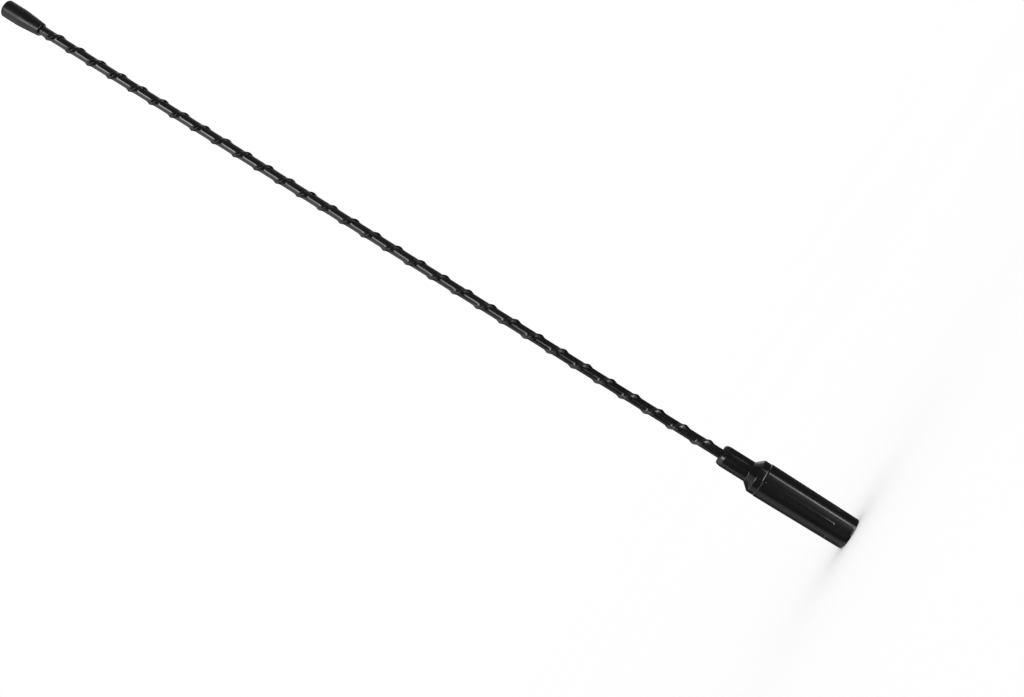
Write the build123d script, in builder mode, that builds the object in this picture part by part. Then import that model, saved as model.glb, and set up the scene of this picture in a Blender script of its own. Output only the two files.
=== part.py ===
from build123d import *
import math
import os

os.makedirs("parts", exist_ok=True)

# Car mast aerial of the 28 cm class, standing on its base end.
# Millimetres, +Z up along the mast, origin at the centre of the base's end face.

# Overall
overall_length = 278.4
bond_gap = 0.02

# Base grip, from its end face upwards
end_bevel = 0.4
grip_bottom_diameter = 9.15
grip_top_diameter = 9.95
grip_height = 26.9
rib_count = 6
rib_width = 0.8
rib_height = 0.15
rib_top_height = 0.05
rib_bottom = 5.8
rib_top_gap = 0.9
groove_width = 0.4
groove_depth = 0.2
rim_diameter = 9.7
rim_height = 2.0
cone_height = 2.05
neck_diameter = 6.05
neck_height = 8.9
neck_bevel_height = 1.4
neck_bevel_depth = 0.5

# Threaded ferrule inside the base, with the tap drill's bore for an M5 x 0.8 thread
thread_bore_diameter = 4.2
thread_depth = 13.0
thread_chamfer = 0.45
drill_point_angle = 118.0
ferrule_diameter = 6.8
ferrule_height = 16.5
stem_diameter = 3.6
stem_height = 15.5
socket_depth = 11.5

# Spring steel rod, the conductor
rod_diameter = 1.9

# Moulded sheath with its wind noise spiral, in a wide pitch below and a closer one above
sheath_wall = 0.4
spiral_height = 0.42
spiral_width = 2.6
spiral_start = 20.95
lower_pitch = 7.7
lower_turns = 16
upper_pitch = 7.2

# Tip cap
cap_length = 12.75
cap_diameter = 5.15
cap_crown_diameter = 4.25
cap_crown_rise = 0.2
cap_edge_height = 0.5
cap_straight_length = 5.3
cap_mouth_diameter = 3.9
cap_mouth_bevel = 0.3
cap_bore_depth = 7.45

# Heights that follow
rib_length = grip_height - rib_top_gap - rib_bottom
groove_middle = grip_height + groove_width / 2
rim_top = groove_middle + rim_height
neck_bottom = rim_top + cone_height
base_height = neck_bottom + neck_height
stem_top = ferrule_height + stem_height
socket_floor = stem_top - socket_depth
cap_mouth = overall_length - cap_length
sheath_bottom = stem_top + bond_gap
sheath_top = cap_mouth + cap_bore_depth - bond_gap
pitch_change = spiral_start + lower_turns * lower_pitch

# Radii that follow
rod_radius = rod_diameter / 2
rod_bore_radius = rod_radius + bond_gap
sheath_radius = rod_bore_radius + sheath_wall
crest_radius = sheath_radius + spiral_height
mast_bore_radius = sheath_radius + bond_gap
rib_radius = (rib_width**2 / 4 + rib_height**2) / (2 * rib_height)

standing = (Align.CENTER, Align.CENTER, Align.MIN)

# Threaded ferrule: one turned piece, tapped below, with a socket for the rod above
with BuildPart() as threaded_ferrule:
    Cylinder(ferrule_diameter / 2, ferrule_height, align=standing)
    with Locations((0, 0, ferrule_height)):
        Cylinder(stem_diameter / 2, stem_height, align=standing)
    with BuildSketch(Plane.XZ):
        with BuildLine():
            thread_radius = thread_bore_diameter / 2
            point_length = thread_radius / math.tan(math.radians(drill_point_angle / 2))
            Polyline(
                (0, 0),
                (thread_radius + thread_chamfer, 0),
                (thread_radius, thread_chamfer),
                (thread_radius, thread_depth),
                (0, thread_depth + point_length),
                close=True,
            )
        make_face()
    revolve(axis=Axis.Z, mode=Mode.SUBTRACT)
    with Locations((0, 0, socket_floor)):
        Cylinder(rod_bore_radius, socket_depth, align=standing, mode=Mode.SUBTRACT)
threaded_ferrule.part.label = "threaded_ferrule"
export_step(threaded_ferrule.part, "parts/threaded_ferrule.step")

# Base grip: one moulding over the ferrule, with finger ribs, a ring groove, a cone and a neck for the mast
with BuildPart() as base_grip:
    with BuildSketch(Plane.XZ):
        with BuildLine():
            Polyline(
                (0, 0),
                (grip_bottom_diameter / 2, 0),
                (grip_top_diameter / 2, grip_height),
                (grip_top_diameter / 2 - groove_depth, groove_middle),
                (rim_diameter / 2, groove_middle + groove_width / 2),
                (rim_diameter / 2, rim_top),
                (neck_diameter / 2, neck_bottom),
                (neck_diameter / 2, base_height - neck_bevel_height),
                (neck_diameter / 2 - neck_bevel_depth, base_height),
                (0, base_height),
                close=True,
            )
        make_face()
    revolve(axis=Axis.Z)
    grip_slope = (grip_top_diameter - grip_bottom_diameter) / 2 / grip_height
    rib_foot = grip_bottom_diameter / 2 + rib_bottom * grip_slope + rib_height - rib_radius
    rib_slope = grip_slope - (rib_height - rib_top_height) / rib_length
    rib_lean = math.degrees(math.atan(rib_slope))
    with PolarLocations(rib_foot, rib_count, start_angle=-90):
        with Locations(Location((0, 0, rib_bottom), (0, rib_lean, 0))):
            Cylinder(rib_radius, rib_length, align=standing)
            Sphere(rib_radius)
            with Locations((0, 0, rib_length)):
                Sphere(rib_radius)
    chamfer(base_grip.edges().filter_by_position(Axis.Z, 0, 0), end_bevel)
    Cylinder(ferrule_diameter / 2 + bond_gap, ferrule_height + bond_gap, align=standing, mode=Mode.SUBTRACT)
    Cylinder(stem_diameter / 2 + bond_gap, sheath_bottom, align=standing, mode=Mode.SUBTRACT)
    Cylinder(mast_bore_radius, base_height, align=standing, mode=Mode.SUBTRACT)
base_grip.part.label = "base_grip"
export_step(base_grip.part, "parts/base_grip.step")

# Core rod: a straight rod from the ferrule's socket to the top of the sheath
with BuildPart() as core_rod:
    with Locations((0, 0, socket_floor)):
        Cylinder(rod_radius, sheath_top - socket_floor, align=standing)
core_rod.part.label = "core_rod"
export_step(core_rod.part, "parts/core_rod.step")

# Wind noise spiral: a left hand ridge in two pitches, cut square at the base's neck and the cap
with BuildPart() as spiral:
    spiral_end = cap_mouth + upper_pitch
    root_radius = sheath_radius - sheath_wall / 2
    half_root = spiral_width / 2 * (crest_radius - root_radius) / spiral_height
    stretches = (
        (spiral_start, pitch_change, lower_pitch),
        (pitch_change, spiral_end, upper_pitch),
    )
    for bottom, top, pitch in stretches:
        with BuildLine(Plane.XY.offset(bottom)) as path:
            Helix(pitch, top - bottom, sheath_radius, lefthand=True)
        with BuildSketch(Plane(origin=(0, 0, bottom), x_dir=(1, 0, 0), z_dir=(0, -1, 0))) as section:
            with BuildLine():
                Polyline((crest_radius, 0), (root_radius, -half_root), (root_radius, half_root), close=True)
            make_face()
        sweep(section.sketch, path=path.line, is_frenet=True)
    split(bisect_by=Plane.XY.offset(base_height + bond_gap), keep=Keep.TOP)
    split(bisect_by=Plane.XY.offset(cap_mouth - bond_gap), keep=Keep.BOTTOM)

# Mast sheath: a thin tube with the spiral moulded on it and plain ends in the base and the cap
with BuildPart() as mast_sheath:
    with Locations((0, 0, sheath_bottom)):
        Cylinder(sheath_radius, sheath_top - sheath_bottom, align=standing)
    add(spiral.part)
    with Locations((0, 0, sheath_bottom)):
        Cylinder(rod_bore_radius, sheath_top - sheath_bottom, align=standing, mode=Mode.SUBTRACT)
mast_sheath.part.label = "mast_sheath"
export_step(mast_sheath.part, "parts/mast_sheath.step")

# Tip cap: a moulded cap with a low round crown and a taper to its mouth
with BuildPart() as tip_cap:
    with BuildSketch(Plane.XZ):
        with BuildLine():
            edge_top = overall_length - cap_crown_rise
            edge_bottom = edge_top - cap_edge_height
            crown_edge = cap_crown_diameter / 2
            crown_radius = (crown_edge**2 + cap_crown_rise**2) / (2 * cap_crown_rise)
            Polyline(
                (0, overall_length),
                (0, cap_mouth),
                (cap_mouth_diameter / 2, cap_mouth),
                (cap_diameter / 2, edge_bottom - cap_straight_length),
                (cap_diameter / 2, edge_bottom),
                (crown_edge, edge_top),
            )
            RadiusArc((crown_edge, edge_top), (0, overall_length), -crown_radius)
        make_face()
    revolve(axis=Axis.Z)
    chamfer(tip_cap.edges().filter_by_position(Axis.Z, cap_mouth, cap_mouth), cap_mouth_bevel)
    with Locations((0, 0, cap_mouth)):
        Cylinder(mast_bore_radius, cap_bore_depth, align=standing, mode=Mode.SUBTRACT)
tip_cap.part.label = "tip_cap"
export_step(tip_cap.part, "parts/tip_cap.step")
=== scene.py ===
import math

import bpy
import numpy as np
from mathutils import Matrix, Vector


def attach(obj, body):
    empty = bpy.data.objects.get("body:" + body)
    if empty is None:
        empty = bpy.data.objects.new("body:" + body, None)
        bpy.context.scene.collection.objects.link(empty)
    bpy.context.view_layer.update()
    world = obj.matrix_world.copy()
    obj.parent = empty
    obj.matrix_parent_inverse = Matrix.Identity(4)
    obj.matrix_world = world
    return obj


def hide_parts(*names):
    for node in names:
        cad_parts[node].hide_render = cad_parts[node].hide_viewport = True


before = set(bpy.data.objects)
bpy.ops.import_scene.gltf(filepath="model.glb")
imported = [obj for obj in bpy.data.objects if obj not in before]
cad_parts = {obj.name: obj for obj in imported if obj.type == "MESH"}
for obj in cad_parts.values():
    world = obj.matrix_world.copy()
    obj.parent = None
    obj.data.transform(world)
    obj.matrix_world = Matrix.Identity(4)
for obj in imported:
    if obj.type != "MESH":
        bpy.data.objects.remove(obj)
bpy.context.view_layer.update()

# Driving sizes in millimetres, as in the part's source. A piece's name with no other word is its radius.
LENGTH, BOND = 278.4, 0.02
GRIP_HEIGHT, GROOVE_WIDTH, RIM_HEIGHT, CONE_HEIGHT, NECK_HEIGHT = 26.9, 0.4, 2.0, 2.05, 8.9
FERRULE, FERRULE_HEIGHT = 3.4, 16.5
STEM, STEM_HEIGHT, SOCKET_DEPTH = 1.8, 15.5, 11.5
ROD, SHEATH_WALL = 0.95, 0.4
CAP_LENGTH, CAP_BORE_DEPTH = 12.75, 7.45

# Heights and radii that follow
GROOVE_MIDDLE = GRIP_HEIGHT + GROOVE_WIDTH / 2
RIM_TOP = GROOVE_MIDDLE + RIM_HEIGHT
NECK_BOTTOM = RIM_TOP + CONE_HEIGHT
BASE_TOP = NECK_BOTTOM + NECK_HEIGHT
STEM_TOP = FERRULE_HEIGHT + STEM_HEIGHT
SOCKET_FLOOR = STEM_TOP - SOCKET_DEPTH
CAP_MOUTH = LENGTH - CAP_LENGTH
CAP_FLOOR = CAP_MOUTH + CAP_BORE_DEPTH
ROD_BORE = ROD + BOND
TUBE = ROD_BORE + SHEATH_WALL
MAST_BORE = TUBE + BOND

# Meshes are made in metres
MM = 0.001
TURN = 2 * math.pi
ARC_STEPS = 7


# Mesh helpers

def rounded(points):
    """An outline from (radius, height, corner round) points, with each corner drawn as an arc."""
    out = []
    for i, (radius, height, corner_round) in enumerate(points):
        corner = np.array([radius, height], float)
        if not corner_round:
            out.append(corner)
            continue
        before = np.array(points[i - 1][:2], float) - corner
        after = np.array(points[(i + 1) % len(points)][:2], float) - corner
        before /= np.linalg.norm(before)
        after /= np.linalg.norm(after)
        half = math.acos(max(-1.0, min(1.0, float(before @ after)))) / 2
        reach = corner_round / math.tan(half)
        middle = (before + after) / np.linalg.norm(before + after)
        centre = corner + middle * (corner_round / math.sin(half))
        start = corner + before * reach - centre
        end = corner + after * reach - centre
        sweep = math.atan2(start[0] * end[1] - start[1] * end[0], float(start @ end))
        for angle in np.linspace(0, sweep, ARC_STEPS + 1):
            spin = np.array([[math.cos(angle), -math.sin(angle)], [math.sin(angle), math.cos(angle)]])
            out.append(centre + spin @ start)
    return np.array(out)


def divided(outline, longest):
    """The same open outline with no step longer than the given length."""
    out = [outline[0]]
    for start, end in zip(outline[:-1], outline[1:]):
        parts = max(1, math.ceil(np.linalg.norm(end - start) / longest))
        out += [start + (end - start) * k / parts for k in range(1, parts + 1)]
    return np.array(out)


def turned(outline, angles):
    """Rings of a turned form: each outline point (radius, height) swept through the angles."""
    radius, height = outline[:, 0][:, None], outline[:, 1][:, None]
    return np.stack([radius * np.cos(angles), radius * np.sin(angles), height + 0 * angles], axis=-1)


def even(count):
    """Angles that share a full turn evenly."""
    return np.arange(count) * TURN / count


def ramp(x):
    """A smooth rise from 0 to 1 while x goes from -0.5 to 0.5."""
    x = np.clip(x + 0.5, 0, 1)
    return x * x * (3 - 2 * x)


def piece(name, verts, faces, sharp):
    """An object with a smooth mesh from points in millimetres, and sharp edges past the given angle."""
    mesh = bpy.data.meshes.new(name)
    mesh.from_pydata((np.asarray(verts, float) * MM).tolist(), [], faces)
    mesh.shade_smooth()
    mesh.set_sharp_from_angle(angle=math.radians(sharp))
    mesh.validate()
    obj = bpy.data.objects.new(name, mesh)
    bpy.context.scene.collection.objects.link(obj)
    return obj


def skin(name, rings, loop, sharp=40):
    """A piece from rings of points (ring, around, xyz). A ring with no radius becomes one point."""
    count, around = rings.shape[:2]
    poles = [not loop and float(np.ptp(ring[:, 0])) < 1e-9 for ring in rings]
    verts, first = [], []
    for ring, pole in zip(rings, poles):
        first.append(len(verts))
        verts += [ring[0]] if pole else list(ring)
    faces = []
    for i in range(count if loop else count - 1):
        following = (i + 1) % count
        here, there = first[i], first[following]
        for j in range(around):
            beside = (j + 1) % around
            if poles[i]:
                faces.append((here, there + beside, there + j))
            elif poles[following]:
                faces.append((here + j, here + beside, there))
            else:
                faces.append((here + j, here + beside, there + beside, there + j))
    return piece(name, verts, faces, sharp)


# Base grip: one moulding with true rounds and six finger ribs that fade towards the top

GRIP_BOTTOM, GRIP_TOP, GROOVE_DEPTH = 4.575, 4.975, 0.2
RIM, NECK = 4.85, 3.025
BEVEL_FALL, SHOULDER, SHOULDER_FALL, NECK_TOP = 1.5, 2.86, 0.55, 2.5
RIB_COUNT, FIRST_RIB, RIB_HALF_WIDTH = 6, -math.pi / 2, 0.47
RIB_BOTTOM, RIB_TOP = 5.8, 26.0
RIB_RISE, RIB_TOP_RISE = 0.15, 0.05

# The mesh is finer at the ribs' ends, within a length, and across the ribs, within an angle
END_REACH, END_ROWS, LONG_ROWS = 0.6, 21, 14
SIDE_REACH, RIB_COLUMNS, WIDE_COLUMNS = 0.1179, 29, 20
BASE_LONGEST_STEP = 1.6

base_points = [
    (FERRULE + BOND, 0.0, 0),
    (GRIP_BOTTOM, 0.0, 0.45),
    (GRIP_TOP, GRIP_HEIGHT, 0.1),
    (GRIP_TOP - GROOVE_DEPTH, GROOVE_MIDDLE, 0.04),
    (RIM, GROOVE_MIDDLE + GROOVE_WIDTH / 2, 0.08),
    (RIM, RIM_TOP, 0.5),
    (NECK, NECK_BOTTOM, 0.3),
    (NECK, BASE_TOP - BEVEL_FALL, 0.8),
    (SHOULDER, BASE_TOP - SHOULDER_FALL, 0.5),
    (NECK_TOP, BASE_TOP, 0.2),
    (MAST_BORE, BASE_TOP, 0.05),
    (MAST_BORE, STEM_TOP + BOND, 0),
    (STEM + BOND, STEM_TOP + BOND, 0),
    (STEM + BOND, FERRULE_HEIGHT + BOND, 0),
    (FERRULE + BOND, FERRULE_HEIGHT + BOND, 0),
]


def base_outline():
    """The moulding's closed outline, with rows added up the grip."""
    outline = rounded(base_points)
    grip_start = ARC_STEPS + 2
    rows = np.concatenate([
        np.linspace(RIB_BOTTOM - END_REACH, RIB_BOTTOM + END_REACH, END_ROWS),
        np.linspace(RIB_BOTTOM + END_REACH, RIB_TOP - END_REACH, LONG_ROWS)[1:-1],
        np.linspace(RIB_TOP - END_REACH, RIB_TOP + END_REACH, END_ROWS)])
    grip = np.stack([GRIP_BOTTOM + (GRIP_TOP - GRIP_BOTTOM) * rows / GRIP_HEIGHT, rows], axis=-1)
    closed = np.concatenate([outline[:grip_start], grip, outline[grip_start:], outline[:1]])
    return divided(closed, BASE_LONGEST_STEP)[:-1]


def base_angles():
    """Angles around the base, close together across each rib."""
    across = np.linspace(-SIDE_REACH, SIDE_REACH, RIB_COLUMNS)
    between = np.linspace(SIDE_REACH, TURN / RIB_COUNT - SIDE_REACH, WIDE_COLUMNS)[1:-1]
    sector = np.concatenate([across, between])
    return np.concatenate([FIRST_RIB + turn + sector for turn in even(RIB_COUNT)])


def with_ribs(rings):
    """The same rings with the finger ribs raised on the outside of the grip."""
    x, y, z = np.moveaxis(rings, -1, 0)
    radius = np.hypot(x, y)
    sector = TURN / RIB_COUNT
    off = (np.arctan2(y, x) - FIRST_RIB + sector / 2) % sector - sector / 2
    past_end = np.maximum(0, np.maximum(RIB_BOTTOM - z, z - RIB_TOP))
    away = np.minimum(np.hypot(off * radius, past_end) / RIB_HALF_WIDTH, 1)
    along = np.clip((z - RIB_BOTTOM) / (RIB_TOP - RIB_BOTTOM), 0, 1)
    rise = RIB_RISE + (RIB_TOP_RISE - RIB_RISE) * along
    lift = rise * (0.5 + 0.5 * np.cos(math.pi * away))
    grow = np.where(radius > GRIP_BOTTOM, 1 + lift / radius, 1.0)
    return np.stack([x * grow, y * grow, z], axis=-1)


base_rings = with_ribs(turned(base_outline(), base_angles()))
base_looks = skin("base_grip_looks", base_rings[:, ::-1], loop=True)


# Mast sheath: a tube with a left hand spiral in two pitches, in rows that follow the spiral's crest

SPIRAL_START, LOWER_PITCH, LOWER_TURNS, UPPER_PITCH = 20.95, 7.7, 16, 7.2
PITCH_CHANGE = SPIRAL_START + LOWER_PITCH * LOWER_TURNS
RIDGE_HEIGHT, RIDGE_HALF_WIDTH, CREST_ROUND, FOOT_ROUND = 0.4, 1.0, 0.12, 0.13
RUN_OUT, RUN_OUT_LENGTH = 42.0, 1.8
SPIRAL_BOTTOM, SPIRAL_TOP = BASE_TOP + BOND, CAP_MOUTH - BOND
SHEATH_BOTTOM, SHEATH_TOP = STEM_TOP + BOND, CAP_FLOOR - BOND
END_STEP = 0.001
SHEATH_COLUMNS = 56
ROWS_FROM_CREST = (0.09, 0.2, 0.35, 0.55, 0.75, 0.9, 1.05, 1.2, 1.4, 1.7, 2.3, 3.1)

sheath_angles = even(SHEATH_COLUMNS)


def turns_at(z):
    """Turns of the spiral from its start up to a height."""
    lower = (z - SPIRAL_START) / LOWER_PITCH
    return np.where(z < PITCH_CHANGE, lower, LOWER_TURNS + (z - PITCH_CHANGE) / UPPER_PITCH)


def height_at(turns):
    """The height that the spiral reaches after a number of turns."""
    lower = SPIRAL_START + LOWER_PITCH * turns
    return np.where(turns < LOWER_TURNS, lower, PITCH_CHANGE + UPPER_PITCH * (turns - LOWER_TURNS))


def soft_foot(rise):
    """The rise, bent softly into nought where it would fall below it."""
    return 0.5 * (rise + np.sqrt(rise**2 + FOOT_ROUND**2))


def ridge(angle, z):
    """Height of the spiral over the tube: a round crest and a soft foot, run out just above the neck."""
    pitch = np.where(z < PITCH_CHANGE, LOWER_PITCH, UPPER_PITCH)
    away = ((turns_at(z) + angle / TURN + 0.5) % 1.0 - 0.5) * pitch
    fall = (np.sqrt(away**2 + CREST_ROUND**2) - CREST_ROUND) / (RIDGE_HALF_WIDTH - CREST_ROUND)
    height = RIDGE_HEIGHT * soft_foot(RIDGE_HEIGHT * (1 - fall)) / soft_foot(RIDGE_HEIGHT)
    return height * ramp((z - RUN_OUT) / RUN_OUT_LENGTH)


def ring_at(z, radius):
    """A ring of the sheath. Its height and radius are one number each, or one for each angle."""
    radius = radius + 0 * sheath_angles
    x, y = radius * np.cos(sheath_angles), radius * np.sin(sheath_angles)
    return np.stack([x, y, z + 0 * sheath_angles], axis=-1)


def ridged_ring(z):
    """A ring of the sheath with the spiral on it."""
    return ring_at(z, TUBE + ridge(sheath_angles, z + 0 * sheath_angles))


from_crest = np.array(ROWS_FROM_CREST) / LOWER_PITCH
turn_rows = np.concatenate([-from_crest[::-1], [0.0], from_crest])
first_turn, last_turn = int(turns_at(SPIRAL_BOTTOM)) - 1, int(turns_at(SPIRAL_TOP)) + 2
row_turns = np.concatenate([turn + turn_rows for turn in range(first_turn, last_turn + 1)])
row_heights = np.clip(height_at(row_turns[:, None] - sheath_angles / TURN), SPIRAL_BOTTOM, SPIRAL_TOP)
spiral_rows = np.array([ridged_ring(heights) for heights in row_heights])

# From the spiral's top up inside the cap, down the bore, and up inside the neck to the spiral's bottom
end_rings = np.array([
    ridged_ring(SPIRAL_TOP),
    ring_at(SPIRAL_TOP + END_STEP, TUBE),
    ring_at(SHEATH_TOP, TUBE),
    ring_at(SHEATH_TOP, ROD_BORE),
    ring_at(SHEATH_BOTTOM, ROD_BORE),
    ring_at(SHEATH_BOTTOM, TUBE),
    ring_at(SPIRAL_BOTTOM - END_STEP, TUBE),
    ridged_ring(SPIRAL_BOTTOM),
])

# Past the last angle a row runs on into the row one turn below it
sheath_faces = []
for row in range(len(row_turns) - 1):
    for column in range(SHEATH_COLUMNS):
        beside, low = (column + 1, row) if column + 1 < SHEATH_COLUMNS else (0, row - len(turn_rows))
        sheath_faces.append((
            row * SHEATH_COLUMNS + column,
            max(0, low) * SHEATH_COLUMNS + beside,
            max(0, low + 1) * SHEATH_COLUMNS + beside,
            (row + 1) * SHEATH_COLUMNS + column,
        ))
for ring in range(len(end_rings) - 1):
    start = (len(row_turns) + ring) * SHEATH_COLUMNS
    for column in range(SHEATH_COLUMNS):
        here, beside = start + column, start + (column + 1) % SHEATH_COLUMNS
        sheath_faces.append((here, beside, beside + SHEATH_COLUMNS, here + SHEATH_COLUMNS))

# Points that fall together at the ends become one, and faces that shrink to a line are left out
sheath_points = np.concatenate([spiral_rows.reshape(-1, 3), end_rings.reshape(-1, 3)])
kept_points, kept_index = np.unique(np.round(sheath_points, 6), axis=0, return_inverse=True)
kept_index = kept_index.ravel().tolist()
sheath_faces = [tuple(dict.fromkeys(kept_index[point] for point in face)) for face in sheath_faces]
sheath_faces = [face for face in sheath_faces if len(face) > 2]
sheath_looks = piece("mast_sheath_looks", kept_points, sheath_faces, sharp=60)


# Tip cap: one moulding with a low crown, round edges and a taper to its mouth

CAP, CAP_MOUTH_RADIUS, CAP_TAPER_FALL = 2.575, 1.95, 6.0
CROWN, CROWN_FALL, EDGE_FALL = 1.3, 0.04, 0.18
CAP_COLUMNS, CAP_LONGEST_STEP = 120, 0.8

cap_points = [
    (0.0, LENGTH, 0),
    (CROWN, LENGTH - CROWN_FALL, 3.0),
    (CAP, LENGTH - EDGE_FALL, 0.6),
    (CAP, LENGTH - CAP_TAPER_FALL, 20.0),
    (CAP_MOUTH_RADIUS, CAP_MOUTH, 0.3),
    (MAST_BORE, CAP_MOUTH, 0.04),
    (MAST_BORE, CAP_FLOOR, 0),
    (0.0, CAP_FLOOR, 0),
]
cap_rings = turned(divided(rounded(cap_points), CAP_LONGEST_STEP), even(CAP_COLUMNS))
cap_looks = skin("tip_cap_looks", cap_rings[:, ::-1], loop=False)


# Threaded ferrule: turned brass with a tapped M5 bore below and a socket for the rod above

DRILL, DRILL_DEPTH, DRILL_POINT_LENGTH, MOUTH_BEVEL = 2.1, 13.0, 1.26, 0.45
THREAD_PITCH, THREAD_DEPTH, CREST_SHARE, FLANK_SHARE = 0.8, 0.4, 0.15, 0.72
THREAD_BOTTOM, THREAD_TOP, THREAD_FADE = 0.5, 12.6, 0.6
ROWS_A_TURN, FERRULE_COLUMNS = 18, 72

drill_points = [(0.0, DRILL_DEPTH + DRILL_POINT_LENGTH), (DRILL, DRILL_DEPTH)]
outer_points = [
    (DRILL, MOUTH_BEVEL, 0),
    (DRILL + MOUTH_BEVEL, 0.0, 0.05),
    (FERRULE, 0.0, 0.12),
    (FERRULE, FERRULE_HEIGHT, 0.1),
    (STEM, FERRULE_HEIGHT, 0.1),
    (STEM, STEM_TOP, 0.1),
    (ROD_BORE, STEM_TOP, 0.05),
    (ROD_BORE, SOCKET_FLOOR, 0),
    (0.0, SOCKET_FLOOR, 0),
]
thread_heights = np.arange(THREAD_BOTTOM, THREAD_TOP, THREAD_PITCH / ROWS_A_TURN)[::-1]
thread_points = np.stack([np.full_like(thread_heights, DRILL), thread_heights], axis=-1)
ferrule_outline = np.concatenate([drill_points, thread_points, rounded(outer_points)])
ferrule_rings = turned(ferrule_outline, even(FERRULE_COLUMNS))

# The thread is cut into its rows of the bore, and fades out at its top
thread_rows = slice(len(drill_points), len(drill_points) + len(thread_points))
x, y, z = np.moveaxis(ferrule_rings[thread_rows], -1, 0)
from_thread_crest = 2 * np.abs((z / THREAD_PITCH - np.arctan2(y, x) / TURN) % 1.0 - 0.5)
cut = THREAD_DEPTH * np.clip((from_thread_crest - CREST_SHARE) / FLANK_SHARE, 0, 1)
cut *= np.clip((THREAD_TOP - z) / THREAD_FADE, 0, 1)
ferrule_rings[thread_rows, :, :2] *= (1 + cut / DRILL)[..., None]
ferrule_looks = skin("threaded_ferrule_looks", ferrule_rings[:, ::-1], loop=False, sharp=35)


# Materials. Noise lies mostly between its low and its high value.

NOISE_LOW, NOISE_HIGH, NOISE_ROUGHNESS = 0.3, 0.7, 0.55
PLASTIC_PATCHES, PLASTIC_SMUDGES, GRAIN_DEPTH = 700.0, 350.0, 0.02 * MM
LINE_DEPTH, LINES_ROUND, LINES_ALONG = 0.01 * MM, (60.0, 60.0, 9000.0), (9000.0, 9000.0, 60.0)
BLACK = ((0.0042, 0.0042, 0.0042), (0.006, 0.006, 0.006))
DEEP_BLACK = ((0.0036, 0.0036, 0.0036), (0.005, 0.005, 0.005))
BRASS = ((0.55, 0.36, 0.13), (0.68, 0.48, 0.2))
STEEL = ((0.42, 0.42, 0.43), (0.56, 0.56, 0.56))
FLOOR_WHITE = ((0.99, 0.99, 0.99), (1.0, 1.0, 1.0))


class Nodes:
    """A material, and helpers that add and link its shader nodes."""

    def __init__(self, name):
        self.material = bpy.data.materials.new(name)
        self.material.use_nodes = True
        self.tree = self.material.node_tree
        self.shader = self.tree.nodes["Principled BSDF"]
        self.place = self.add("ShaderNodeTexCoord").outputs["Object"]

    def add(self, kind, **values):
        node = self.tree.nodes.new(kind)
        for key, value in values.items():
            node.inputs[key].default_value = value
        return node

    def link(self, source, target):
        self.tree.links.new(source, target)

    def noise(self, scale, detail=3.0, stretch=(1.0, 1.0, 1.0)):
        mapping = self.add("ShaderNodeMapping", Scale=stretch)
        node = self.add("ShaderNodeTexNoise", Scale=scale, Detail=detail, Roughness=NOISE_ROUGHNESS)
        self.link(self.place, mapping.inputs["Vector"])
        self.link(mapping.outputs["Vector"], node.inputs["Vector"])
        return node.outputs["Fac"]

    def colours(self, value, dark, light):
        node = self.add("ShaderNodeValToRGB")
        low, high = node.color_ramp.elements
        low.position, low.color = NOISE_LOW, (*dark, 1)
        high.position, high.color = NOISE_HIGH, (*light, 1)
        self.link(value, node.inputs["Fac"])
        self.link(node.outputs["Color"], self.shader.inputs["Base Color"])

    def roughness(self, value, low, high):
        spans = {"From Min": NOISE_LOW, "From Max": NOISE_HIGH, "To Min": low, "To Max": high}
        node = self.add("ShaderNodeMapRange", **spans)
        self.link(value, node.inputs["Value"])
        self.link(node.outputs["Result"], self.shader.inputs["Roughness"])

    def bump(self, value, strength, depth):
        node = self.add("ShaderNodeBump", Strength=strength, Distance=depth)
        self.link(value, node.inputs["Height"])
        self.link(node.outputs["Normal"], self.shader.inputs["Normal"])


def plastic(name, shades, rough, grain, grain_strength, ior=1.5):
    """Moulded plastic with faint patches, an uneven gloss and a fine grain."""
    nodes = Nodes(name)
    nodes.colours(nodes.noise(PLASTIC_PATCHES), *shades)
    nodes.roughness(nodes.noise(PLASTIC_SMUDGES, detail=4.0), *rough)
    nodes.bump(nodes.noise(grain, detail=2.0), grain_strength, GRAIN_DEPTH)
    nodes.shader.inputs["IOR"].default_value = ior
    return nodes.material


def metal(name, shades, patches, rough, smudges, lines, line_strength):
    """Bare metal with faint patches, an uneven gloss and fine tool lines."""
    nodes = Nodes(name)
    nodes.colours(nodes.noise(patches), *shades)
    nodes.roughness(nodes.noise(smudges), *rough)
    nodes.bump(nodes.noise(1.0, detail=2.0, stretch=lines), line_strength, LINE_DEPTH)
    nodes.shader.inputs["Metallic"].default_value = 1.0
    return nodes.material


def floor_paint(name):
    """A matt white with no gloss."""
    nodes = Nodes(name)
    nodes.colours(nodes.noise(3.0), *FLOOR_WHITE)
    nodes.shader.inputs["Roughness"].default_value = 1.0
    nodes.shader.inputs["Specular IOR Level"].default_value = 0.0
    return nodes.material


base_black = plastic("base_black", BLACK, rough=(0.12, 0.19), grain=2600.0, grain_strength=0.12)
sheath_black = plastic("sheath_black", BLACK, rough=(0.13, 0.21), grain=3400.0, grain_strength=0.15)
cap_black = plastic("cap_black", DEEP_BLACK, rough=(0.26, 0.36), grain=3000.0, grain_strength=0.15, ior=1.4)
turned_brass = metal("turned_brass", BRASS, patches=500.0, rough=(0.2, 0.34), smudges=300.0,
                     lines=LINES_ROUND, line_strength=0.2)
drawn_steel = metal("drawn_steel", STEEL, patches=400.0, rough=(0.24, 0.36), smudges=200.0,
                    lines=LINES_ALONG, line_strength=0.15)


def coat(obj, material):
    """Gives an object one material."""
    obj.data.materials.clear()
    obj.data.materials.append(material)


def dress(obj, material, node):
    """Ties a piece to the solid that it stands for, and gives both the same material."""
    coat(obj, material)
    coat(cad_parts[node], material)
    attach(obj, "root")
    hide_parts(node)


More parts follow.
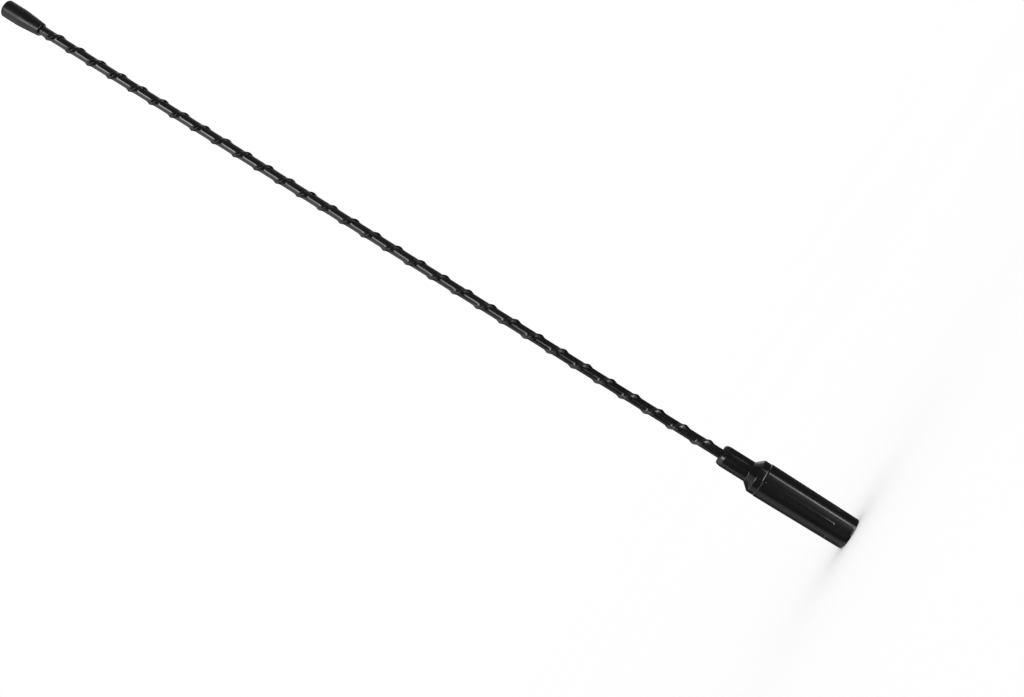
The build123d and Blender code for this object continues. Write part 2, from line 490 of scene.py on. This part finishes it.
dress(base_looks, base_black, "base_grip")
dress(sheath_looks, sheath_black, "mast_sheath")
dress(cap_looks, cap_black, "tip_cap")
dress(ferrule_looks, turned_brass, "threaded_ferrule")
coat(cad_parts["core_rod"], drawn_steel)


# Stage: a white room and a white floor, in metres

FLOOR_HALF = 4.0

world = bpy.data.worlds.new("studio_white")
bpy.context.scene.world = world
world.use_nodes = True
background = world.node_tree.nodes["Background"]
background.inputs["Color"].default_value = (1, 1, 1, 1)
background.inputs["Strength"].default_value = 1.0

floor_corners = [(x * FLOOR_HALF, y * FLOOR_HALF, 0) for x, y in ((-1, -1), (1, -1), (1, 1), (-1, 1))]
floor_mesh = bpy.data.meshes.new("floor")
floor_mesh.from_pydata(floor_corners, [], [(0, 1, 2, 3)])
floor_mesh.materials.append(floor_paint("pale_floor"))
floor = bpy.data.objects.new("floor", floor_mesh)
bpy.context.scene.collection.objects.link(floor)
floor.visible_glossy = False
floor.visible_shadow = False


# Studio lights: a dome of soft lamps and a small card, in metres and degrees, seen only in reflections

ROOM_GLOW, DOME_RADIUS, DOME_STEP = 0.07, 3.0, 1.5
CARD_GLOW, CARD_RADIUS, CARD_ACROSS, CARD_HEIGHTS = 5.5, 0.08, (-66, -46), (-0.09, -0.018)

# A lamp is its angles across, its angles up, its level, how soft its sides and ends are, and its skew.
# Angles across count from the photographer's side, minus towards +X, and angles up from level.
LAMPS = (
    # The softbox that shows as a band up the mast and the cap, and on slopes that face up
    ((-2, 23), (7.8, 14), 7.4, (6, 3), 1.6),
    ((16, 41), (13, 30), 5.1, (6, 4), 0.0),
    ((18, 42), (21.5, 31), 5.7, (6, 4), 0.0),
    ((12, 32), (34, 44), 2.2, (6, 5), 0.0),
    # The pale wall towards -X, above and below level
    ((40, 74), (14, 32), 1.4, (9, 6), 0.0),
    ((14, 75), (30, 60), 0.8, (14, 6), 0.0),
    ((70, 126), (9, 42), 1.1, (10, 8), 0.0),
    ((62, 116), (40, 60), 0.6, (14, 8), 0.0),
    ((74, 113), (-12, 9), 0.45, (8, 6), 0.0),
    ((66, 165), (-42, -12), 0.7, (10, 8), 0.0),
    # The dim light from overhead
    ((-30, 12), (35, 54), 0.35, (16, 8), 0.0),
    ((40, 112), (58, 80), 0.5, (16, 8), 0.0),
    # The dim wall towards +X
    ((-172, -148), (8, 54), 1.0, (8, 8), 0.6),
    ((-118, -76), (14, 50), 0.2, (12, 8), 0.0),
    ((-130, -20), (8, 50), 0.12, (40, 8), 0.0),
    # The narrow strip that shows as a line along the grip, with its glow
    ((-63.5, -55.5), (-10.5, -5.6), 8.2, (3, 0.9), 0.0),
    ((-56, -36), (-16, -5.6), 0.35, (12, 1.5), 0.0),
    ((-75, -20), (-50, -6), 0.3, (22, 3), 0.0),
    ((-30, 40), (-14, -6), 0.12, (16, 3), 0.0),
    # The low lights that glint on the spiral's lower side
    ((-45, 8), (-40, -27), 1.3, (14, 8), 0.0),
    ((-84, 6), (-60, -38), 8.0, (16, 8), 0.0),
    # The strip behind, once for each side of the dome's seam
    ((173, 195), (-46, 0), 2.0, (6, 8), 0.0),
    ((-195, -173), (-46, 0), 2.0, (6, 8), 0.0),
)


def lamp(az, el, across, up, level, soft, skew):
    """A soft edged patch of light on the dome. Its sides move across by the skew for each degree up."""
    slide = skew * (el - up[0])
    sides = ramp((az - across[0] - slide) / soft[0]) * ramp((across[1] + slide - az) / soft[0])
    ends = ramp((el - up[0]) / soft[1]) * ramp((up[1] - el) / soft[1])
    return level * sides * ends


def direction(az, el):
    """Unit vectors at angles across and up."""
    az, el = np.radians(az), np.radians(el)
    return np.stack([-np.sin(az) * np.cos(el), -np.cos(az) * np.cos(el), np.sin(el)], axis=-1)


def glowing(name, verts, faces, glow):
    """A stage light of the given glow at each corner, seen only in reflections."""
    mesh = bpy.data.meshes.new(name)
    mesh.from_pydata(verts, [], faces)
    mesh.attributes.new("glow", "FLOAT", "POINT").data.foreach_set("value", glow)
    material = bpy.data.materials.new(name)
    material.use_nodes = True
    tree = material.node_tree
    tree.nodes.clear()
    value = tree.nodes.new("ShaderNodeAttribute")
    value.attribute_name = "glow"
    emit = tree.nodes.new("ShaderNodeEmission")
    out = tree.nodes.new("ShaderNodeOutputMaterial")
    tree.links.new(value.outputs["Fac"], emit.inputs["Strength"])
    tree.links.new(emit.outputs["Emission"], out.inputs["Surface"])
    mesh.materials.append(material)
    obj = bpy.data.objects.new(name, mesh)
    bpy.context.scene.collection.objects.link(obj)
    for ray in ("camera", "diffuse", "shadow", "transmission", "volume_scatter"):
        setattr(obj, "visible_" + ray, False)


dome_az, dome_el = np.meshgrid(np.arange(-180, 180, DOME_STEP), np.arange(-90, 90 + DOME_STEP, DOME_STEP))
dome_glow = ROOM_GLOW + sum(lamp(dome_az, dome_el, *values) for values in LAMPS)
dome_verts = (DOME_RADIUS * direction(dome_az, dome_el)).reshape(-1, 3).tolist()
dome_rows, dome_columns = dome_az.shape
dome_faces = []
for row in range(dome_rows - 1):
    start = row * dome_columns
    for column in range(dome_columns):
        here, beside = start + column, start + (column + 1) % dome_columns
        dome_faces.append((here, beside, beside + dome_columns, here + dome_columns))
glowing("studio_dome", dome_verts, dome_faces, dome_glow.ravel())

# The card stands below the base and lights the edge of its end
card_verts = []
for across in CARD_ACROSS:
    x, y, level = (CARD_RADIUS * direction(across, 0)).tolist()
    card_verts += [(x, y, level + height) for height in CARD_HEIGHTS]
glowing("end_card", card_verts, [(0, 1, 3, 2)], [CARD_GLOW] * len(card_verts))


# Camera, where the photograph was taken from, in metres

FOCAL_PX, WIDTH_PX, SENSOR_WIDTH = 1500.0, 1024.0, 36.0
REACH, TILT, ROLL = 0.4096, math.radians(6.35), math.radians(-57.93)
AIM = Vector((-0.00577, 0.0, 0.1029))

sideways = Vector((1, 0, 0))
forward = Vector((0, math.cos(TILT), math.sin(TILT)))
upward = Vector((0, -math.sin(TILT), math.cos(TILT)))
right = math.cos(ROLL) * sideways + math.sin(ROLL) * upward
up = -math.sin(ROLL) * sideways + math.cos(ROLL) * upward
camera_data = bpy.data.cameras.new("camera")
camera_data.sensor_fit = "HORIZONTAL"
camera_data.sensor_width = SENSOR_WIDTH
camera_data.lens = FOCAL_PX / WIDTH_PX * SENSOR_WIDTH
camera_data.clip_start = 0.01
camera = bpy.data.objects.new("camera", camera_data)
bpy.context.scene.collection.objects.link(camera)
facing = Matrix((right, up, -forward)).transposed().to_4x4()
camera.matrix_world = Matrix.Translation(AIM - forward * REACH) @ facing
bpy.context.scene.camera = camera

bpy.context.scene.view_settings.view_transform = "Standard"

bpy.context.view_layer.update()
